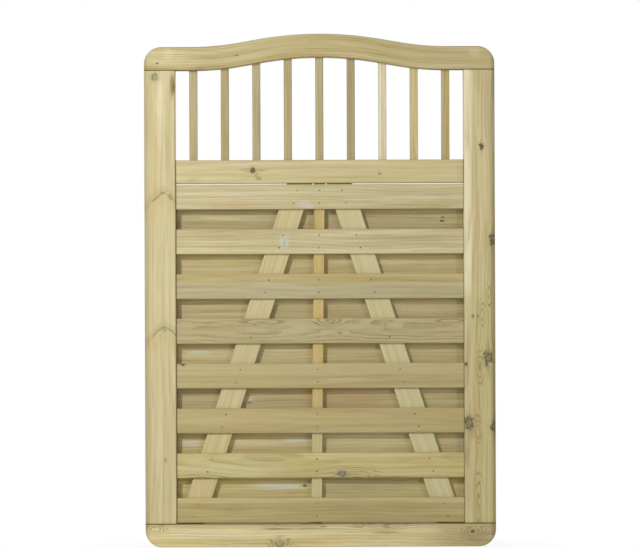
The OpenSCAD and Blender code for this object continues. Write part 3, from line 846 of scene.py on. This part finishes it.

# The lines at X = ±450 and along the joints darken the frame's outer edges and joints: painted shade
FRAME_LOOKS = {
    "left_stile": dict(tone=REED, ring=12, pith=(-70, 30), wander=20, late=0.3, vary=0.8,
        shade_lines=STILE_SHADE_LINES + (("X", -450, 18, 0.3),), knots=(
            (-422, 1207.5, 8, "burl"), (-383, 900, 4, "pale"), (-399, 561, 3.6, "pale"),
            (-398, 224, 2.8, "pale")),
        whorls=((-401, 910, 1.5), (-399, 564, 1.4)), strips=((-396, 200, -400, 1200, 5, AMBER, 0.12),),
        patches=(
            (-376, 1192, 18, 4, MOSS, 0.9), (-380, 1170, 30, 3, LINE, 0.4),
            (-404, 150, 90, 1.6, LINE, 0.6), (-440, 720, 120, 5, AMBER, 0.35),
            (-436, 350, 200, 6, UMBER, 0.4), (-411, 1130, 110, 10, PALE, 0.5),
            (-411, 250, 220, 8, CREAM, 0.4), (-382, 300, 170, 9, STRAW, 0.5),
            (-377, 1184, 32, 7, LINE, 1), (-374, 1178, 14, 4, BARK, 0.5),
            (-410, 660, 130, 50, STRAW, 0.45))),
    "right_stile": dict(tone=STRAW, ring=7.5, pith=(34, 26), tilt=0.022, wander=12, late=0.7,
        shade_lines=STILE_SHADE_LINES + (("X", 450, 14, 0.55),), knots=(
            (415.6, 1028, 5.4, "brown"), (446, 789, 9, "grey"), (392.5, 591, 2.6, "grey"),
            (405, 591, 2, "brown"), (431, 484, 11.5, "grey"), (374.5, 468, 3.5, "brown"),
            (383, 318, 12, "grey"), (446, 306.5, 9, "grey")),
        eyes=(
            (415, 596, 46, 10, 18), (408, 455, 60, 12, 20), (403, 301, 56, 13, 26),
            (404, 50, 200, 15, 38), (432, 640, 50, 9, 14)),
        strips=((389, 600, 391, 1225, 1.8, PALE, 0.95), (450, 672, 370, 650, 26, HONEY, 0.7)), patches=(
            (410, 260, 480, 80, HONEY, 0.55), (404, 300, 330, 14, RUSSET, 0.3),
            (436, 1120, 90, 9, DRAB, 0.6), (440, 720, 110, 9, DULL, 0.5), (446, 420, 190, 7, DULL, 0.6),
            (446, 1180, 50, 6, DULL, 0.7), (398, 1150, 130, 8, SAGE, 0.7), (425, 1150, 140, 4, PINK, 0.7),
            (432, 950, 120, 4, PINK, 0.6), (404, 960, 90, 6, MOSS, 0.25), (380, 500, 130, 7, UMBER, 0.5),
            (378, 230, 220, 9, UMBER, 0.5), (426, 790, 60, 8, FAWN, 0.6),
            (415, 680, 100, 40, CREAM, 0.3))),
    "top_rail": dict(tone=OLIVE, ring=5, pith=(95, 20), wander=10, late=1,
        shade_lines=(("Z", 1225, 2.2, 0.6), ("X", 450, 14, 0.4), ("X", -450, 12, 0.3)),
        knots=((-211.8, 1263.5, 1.8, "brown"), (-416, 1242.7, 1.8, "brown")), patches=(
            (-387, 1268, 15, 15, PALE, 0.45), (399, 1268, 18, 15, PALE, 0.35),
            (-400, 1255, 90, 26, CREAM, 0.5), (-334, 1231, 34, 5, AMBER, 0.7),
            (-306, 1230, 12, 3, BARK, 0.35), (-285, 1232, 62, 3, LINE, 0.5),
            (434, 1248, 14, 8, AMBER, 0.6), (200, 1290, 120, 4, DRAB, 0.6), (0, 1312, 130, 4, DRAB, 0.6),
            (-290, 1275, 50, 4, SLATE, 0.4), (330, 1262, 90, 7, PINK, 0.3))),
    "mid_rail": dict(tone=STRAW, ring=10, pith=(80, 60), late=0.35, vary=0.6,
        shade_lines=(LEFT_END_SHADE, ("X", 370, 2.6, 0.7)),
        knots=((-171.5, 967.5, 7.5, "ring"), (154.5, 958, 2.6, "brown")), patches=(
            (-163, 955, 7, 8, LINE, 0.8), (-156, 947, 9, 6, LINE, 0.7), (-321, 943, 26, 8, AMBER, 0.5),
            (-330, 940, 20, 6, MOSS, 0.35), (-60, 965, 300, 40, OLIVE, 0.35),
            (-364, 937, 12, 4, SLATE, 0.7), (-230, 985, 90, 5, SAGE, 0.5), (90, 950, 90, 6, MOSS, 0.25),
            (154, 958, 12, 9, AMBER, 0.35), (250, 965, 150, 40, HONEY, 0.45),
            (360, 962, 14, 30, UMBER, 0.3))),
    "bottom_rail": dict(tone=CREAM, ring=6, pith=(-60, 30), late=0.8,
        shade_lines=(("Z", 60, 2.6, 0.8), ("X", 450, 16, 0.5), ("X", -450, 14, 0.3)),
        knots=((-105.5, 9.5, 7.5, "pale"), (168.7, 52, 4, "pale"), (389.4, 39.5, 3.6, "red")), eyes=(
            (-424, 45, 38, 15, 20), (392, 32, 42, 26, 26), (-75, 60, 105, 17, 10), (160, 58, 90, 26, 17),
            (-105, 4, 38, 34, 15)),
        # The UMBER strip above z 53.5 mm darkens the rail's top edge: painted shade over the arris that
        # faces the lamps
        strips=((-450, 53.5, 450, 53.5, 2.5, UMBER, 0.65),), patches=(
            (390, 28, 26, 22, PINK, 0.4), (-110, 46.5, 50, 2.2, LINE, 0.8),
            (-22, 47.5, 40, 2.2, LINE, 0.8), (6, 52.5, 12, 3, LINE, 0.9), (92, 51, 24, 2.2, LINE, 0.8),
            (165, 37, 40, 2.4, LINE, 0.6), (-105, 14, 50, 9, MOSS, 0.3), (-150, 33, 330, 9, PALE, 0.35),
            (450, 30, 200, 90, UMBER, 1), (425, 34, 50, 4, DULL, 0.8), (400, 16, 40, 4, DULL, 0.8),
            (436, 14, 20, 10, DULL, 0.6))),
}

FRONT_SLAT_LOOKS = (
    dict(tone=MIST, ring=6, pith=(70, 20), late=0.6, patches=(
        (-39, 879, 22, 10, BLOOM, 0.6), (-24, 874, 14, 5, BLOOM, 0.4), (-150, 917, 150, 1.8, LINE, 0.35),
        # The two DRAB patches on the right half are painted shade: the slat darker towards the right,
        # where less light falls
        (-250, 889, 90, 10, PINK, 0.35), (250, 905, 130, 5, DRAB, 0.6), (230, 878, 120, 3, DRAB, 0.4),
        (100, 899, 110, 60, OLIVE, 0.4))),
    dict(tone=MIST, ring=7, pith=(60, 30), strips=((-380, 768, 380, 766, -6, CREAM, 0.4),), patches=(
        (-200, 802, 230, 9, DRAB, 0.55), (-91, 785, 17, 20, BLOOM, 0.5), (-91, 779, 3, 10, SLATE, 0.9),
        (-97, 780, 3, 13, BLOOM, 0.8), (-85, 780, 3, 13, BLOOM, 0.8), (240, 795, 130, 8, DRAB, 0.35))),
    dict(tone=FAWN, ring=9, pith=(50, 60), late=0.45, vary=0.8,
        strips=((380, 672, -380, 680, 13, SLATE, 0.38),), patches=(
            (-100, 655, 90, 5, DRAB, 0.5), (230, 650, 150, 4, DRAB, 0.4),
            (-200, 690, 170, 6, STRAW, 0.5))),
    dict(tone=DUN, ring=5, pith=(12, 22), wander=18, wave=9, late=0.9, vary=0.6, knots=(
        (28, 580, 7, "pale"), (51, 549, 3.2, "pale"), (182, 579, 3, "pale"), (-10, 574, 1.6, "brown")),
        eyes=((-150, 577, 80, 9, 7), (330, 578, 60, 9, 7), (24, 580, 46, 17, 9)), patches=(
            (-140, 572, 40, 3, MOSS, 0.7), (330, 573, 36, 4, UMBER, 0.6), (28, 580, 16, 11, SLATE, 0.35),
            (0, 555, 380, 40, MOSS, 0.15), (-20, 577, 170, 60, OLIVE, 0.35))),
    dict(tone=UMBER, ring=11, pith=(-70, 40), late=0.35, vary=0.6, knots=((-353, 470, 3.6, "red"),),
        strips=((-380, 439, 380, 443, 3, OLIVE, 0.5),),
        patches=((230, 441, 150, 1.4, LINE, 0.45), (60, 432, 60, 3, CREAM, 0.4))),
    dict(tone=UMBER, ring=13, pith=(60, 50), late=0.3, vary=0.7, patches=(
        (22, 298, 40, 5, SLATE, 0.5), (-60, 300, 50, 4, MOSS, 0.5), (-150, 330, 300, 22, AMBER, 0.35))),
    dict(tone=HONEY, ring=7, pith=(20, 34), wander=18, late=0.6, knots=((55.7, 187.7, 8, "bead"),),
        eyes=((90, 178, 84, 32, 22), (-300, 178, 80, 15, 6.5)), patches=(
            (-60, 181, 110, 2, MOSS, 0.7), (180, 180, 60, 2, MOSS, 0.6), (-230, 205, 190, 40, LEEK, 0.6),
            (-260, 190, 150, 40, CREAM, 0.25), (55, 188, 14, 8, SLATE, 0.5))),
    dict(tone=UMBER, ring=9, pith=(80, 30), late=0.4, strips=((-380, 113, 380, 112, 2, HONEY, 0.75),),
        patches=((-140, 100, 200, 6, MOSS, 0.4), (70, 94, 330, 40, KHAKI, 0.6))),
)

REAR_SLAT_LOOKS = (
    dict(tone=DRAB, ring=8, knots=((317, 846, 1.9, "dash"), (315, 837, 2.3, "dash")), patches=(
        (315, 841, 22, 11, UMBER, 0.5), (-250, 845, 90, 4, CREAM, 0.5), (250, 825, 130, 5, UMBER, 0.5))),
    dict(tone=OLIVE, ring=12, late=0.3),
    dict(tone=DUN, ring=7, patches=(
        (-240, 606, 110, 2, LINE, 0.4), (-240, 598, 110, 3, CREAM, 0.4),
        (200, 610, 150, 2.5, UMBER, 0.4))),
    dict(tone=OLIVE, ring=8, patches=(
        (220, 497, 190, 40, UMBER, 0.8), (-240, 497, 130, 40, FAWN, 0.5), (-315, 500, 34, 8, BLOOM, 0.45),
        (-150, 494, 70, 5, SLATE, 0.5))),
    dict(tone=DRAB, ring=7, late=0.6, knots=((-182.5, 370, 3, "grey"),), patches=(
        (50, 378, 190, 40, RUSSET, 0.6), (-187, 377, 20, 11, PINK, 0.8), (-186, 374, 10, 6, BLOOM, 0.5),
        (-100, 376, 70, 2, LINE, 0.5), (270, 380, 130, 40, HONEY, 0.55))),
    dict(tone=OLIVE, ring=8, patches=(
        (-330, 266, 30, 8, BLOOM, 0.55), (-60, 272, 46, 8, BLOOM, 0.6), (-180, 266, 110, 8, SAGE, 0.55),
        (110, 266, 120, 40, SAGE, 0.4), (360, 262, 24, 8, SLATE, 0.6))),
    dict(tone=HONEY, ring=8, knots=((-41, 156, 3.4, "brown"),), patches=(
        (-95, 154, 85, 12, BLOOM, 0.7), (-290, 160, 26, 14, AMBER, 0.5), (40, 152, 22, 8, SLATE, 0.6),
        (200, 160, 120, 4, UMBER, 0.4), (130, 158, 150, 40, DULL, 0.7), (-300, 158, 90, 40, GORSE, 0.4),
        (-190, 141, 150, 12, OLIVE, 0.6))),
)

SPINDLE_TONES = (DRAB, DRAB, ASH, DRAB, ASH, DULL, CHALK, STRAW, FAWN)

STICK_LOOKS = {
    "left_brace": dict(tone=STRAW, ring=9, late=0.35, vary=0.6, patches=(
        (-290, 190, 190, 50, AMBER, 0.4), (-190, 500, 150, 60, OLIVE, 0.7),
        (-100, 800, 120, 60, HONEY, 0.4))),
    "right_brace": dict(tone=LINEN, ring=14, late=0.2, wander=6, vary=0.4),
    "centre_batten": dict(tone=AMBER, ring=6, late=0.4,
        patches=((-10, 110, 260, 60, LEEK, 1), (-6, 600, 170, 60, WHEAT, 0.4))),
}


# The gate

def build_frame():
    # Each piece's name, its mesh, its grain, and the seed of its grain
    pieces = (("left_stile", make_stile(-1), grain_straight(True, -STILE_MID_X), 3),
              ("right_stile", make_stile(1), grain_straight(True, STILE_MID_X), 4),
              ("top_rail", make_top_rail(5), grain_bowed, 5),
              ("mid_rail", make_mid_rail(6), grain_straight(False, (MID_RAIL_Z + LIGHT_Z) / 2), 6),
              ("bottom_rail", make_bottom_rail(7), grain_straight(False, BOTTOM_RAIL_Z / 2), 7))
    for name, mesh, grain, seed in pieces:
        make_piece(name, mesh, grain, pine(name, grain, seed, **FRAME_LOOKS[name]))


def build_spindles():
    for i, (x, tone) in enumerate(zip(SPINDLE_PLACES, SPINDLE_TONES)):
        name = f"spindle_{i + 1}"
        grain, seed = grain_straight(True, x), SPINDLE_SEED + i
        make_piece(name, make_spindle(x, seed), grain, pine(name, grain, seed, tone))


def build_slats(layer, slat_z, looks, first_seed):
    for i, look in enumerate(looks):
        name = f"{layer}_{i + 1}"
        z, seed = slat_z(i), first_seed + i
        grain = grain_straight(False, z)
        timber = pine(name, grain, seed, arris=SLAT_ARRIS_SHADE, shade_lines=SLAT_SHADE_LINES, **look)
        make_piece(name, make_slat(z, layer == "front_slat", seed), grain, timber)


def build_stick(name, x_at, width, head_x, lean, seed):
    grain = grain_leaning(head_x, lean)
    timber = pine(name, grain, seed, **STICK_LOOKS[name])
    make_piece(name, make_stick(x_at, width, lean, seed), grain, timber)


def dress(node, material):
    """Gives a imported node's own mesh its material."""
    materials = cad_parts[node].data.materials
    materials.clear()
    materials.append(material)


def build_gate():
    build_frame()
    build_spindles()
    build_slats("front_slat", front_slat_z, FRONT_SLAT_LOOKS, FRONT_SLAT_SEED)
    build_slats("rear_slat", rear_slat_z, REAR_SLAT_LOOKS, REAR_SLAT_SEED)
    build_stick("left_brace", left_brace_x, BRACE_W, -BRACE_HEAD_X, -BRACE_LEAN, 51)
    build_stick("right_brace", brace_x, BRACE_W, BRACE_HEAD_X, BRACE_LEAN, 52)
    build_stick("centre_batten", batten_x, BATTEN_W, 0.0, -BATTEN_LEAN, 53)
    dress("front_nails", steel("nail_steel_front"))
    dress("rear_nails", steel("nail_steel_rear"))
    for level in ("top", "mid", "bottom"):
        dress(f"{level}_rail_dowels", dowel_wood(f"dowel_{level}"))


# Floor, light and camera

# The floor: its reach, its tone, how white it looks under the gate and how far out it is all white
FLOOR_REACH, FLOOR_TONE, FLOOR_ROUGH = 8.0, (0.8, 0.8, 0.79, 1.0), 0.9
FLOOR_WHITE, SHADOW_REACH = 0.88, 0.25
AMBIENT = 0.33
# Lamps: name, where it hangs, how wide it is, its share of the light on the middle of the gate's front
# or back, and what it is aimed at
GATE_MIDDLE = (0.0, 0.0, CROWN_Z / 2)
LAMPS = (("key", (-2.85, -5.4, 3.79), 0.3, 0.33, (-8.0, 0.0, 4.3)),
         ("left_soft", (-1.25, -2.4, 1.6), 0.7, 0.12, GATE_MIDDLE),
         ("right_fill", (2.35, -3.3, 1.26), 0.45, 0.11, GATE_MIDDLE),
         ("back", (2.2, 3.3, 2.4), 1.6, 0.42, GATE_MIDDLE))
# The photograph: its scale on the gate's front face, where the gate stands in it, and its tilt
MM_PER_PIXEL, FRAME_W, FRAME_H = 2.567 * MM, 640, 548
GATE_MID_PX, GATE_FOOT_PX, ROLL = 319.9, 547.0, math.radians(0.21)
CAMERA_DISTANCE, SENSOR_W = 8.0, 36.0


def floor_material():
    """A pale floor that runs into the white background and keeps the gate's shadow near its foot."""
    s = Shader("floor", FLOOR_TONE)
    x, y, _ = s.split(s.place())
    beyond = s.math("MAXIMUM", s.minus(s.math("ABSOLUTE", x), HALF_W), 0.0)
    away = s.vector("LENGTH", s.join(beyond, y, 0.0))
    white = s.call("ShaderNodeEmission", {"Color": WHITE, "Strength": 1.0})
    share = s.times(s.ramp(away, 0.0, SHADOW_REACH, FLOOR_WHITE, 1.0), s.camera_sees())
    blend = s.call("ShaderNodeMixShader", {0: share, 1: s.surface.outputs[0], 2: white.outputs[0]})
    s.put(s.find("OUTPUT_MATERIAL").inputs["Surface"], blend.outputs[0])
    return s.finish(FLOOR_ROUGH, 0.0)


def build_floor():
    r = FLOOR_REACH
    mesh = bpy.data.meshes.new("floor")
    mesh.from_pydata([(-r, -r, 0), (r, -r, 0), (r, r, 0), (-r, r, 0)], [], [(0, 1, 2, 3)])
    mesh.materials.append(floor_material())
    floor = new_object("floor", mesh)


def build_world():
    """White to look at, and a softer level for the light that it gives."""
    world = bpy.data.worlds.new("studio")
    bpy.context.scene.world = world
    world.use_nodes = True
    nodes = Nodes(world.node_tree)
    background = nodes.find("BACKGROUND").inputs
    nodes.put(background["Color"], WHITE)
    nodes.put(background["Strength"], nodes.ramp(nodes.camera_sees(), 0.0, 1.0, AMBIENT, 1.0))


def build_lamps():
    for name, place, width, share, target in LAMPS:
        light = bpy.data.lights.new(name, "AREA")
        light.shape, light.size = "DISK", width
        way = Vector(place) - Vector(GATE_MIDDLE)
        aim = Vector(place) - Vector(target)
        slant = abs(way.y) / way.length * math.cos(way.angle(aim))
        light.energy = share * (math.pi * way.length) ** 2 / slant
        lamp = new_object(name, light)
        lamp.location = place
        lamp.rotation_euler = aim.to_track_quat("Z", "Y").to_euler()


def build_camera():
    data = bpy.data.cameras.new("camera")
    data.sensor_width = SENSOR_W
    data.lens = SENSOR_W * CAMERA_DISTANCE / (FRAME_W * MM_PER_PIXEL)
    camera = new_object("camera", data)
    x = (FRAME_W / 2 - GATE_MID_PX) * MM_PER_PIXEL
    z = (GATE_FOOT_PX - FRAME_H / 2) * MM_PER_PIXEL
    camera.location = (x, -HALF_T - CAMERA_DISTANCE, z)
    camera.rotation_euler = (math.radians(90), ROLL, 0)
    bpy.context.scene.camera = camera


build_gate()
build_floor()
build_world()
build_lamps()
build_camera()
bpy.context.scene.view_settings.view_transform = "Standard"
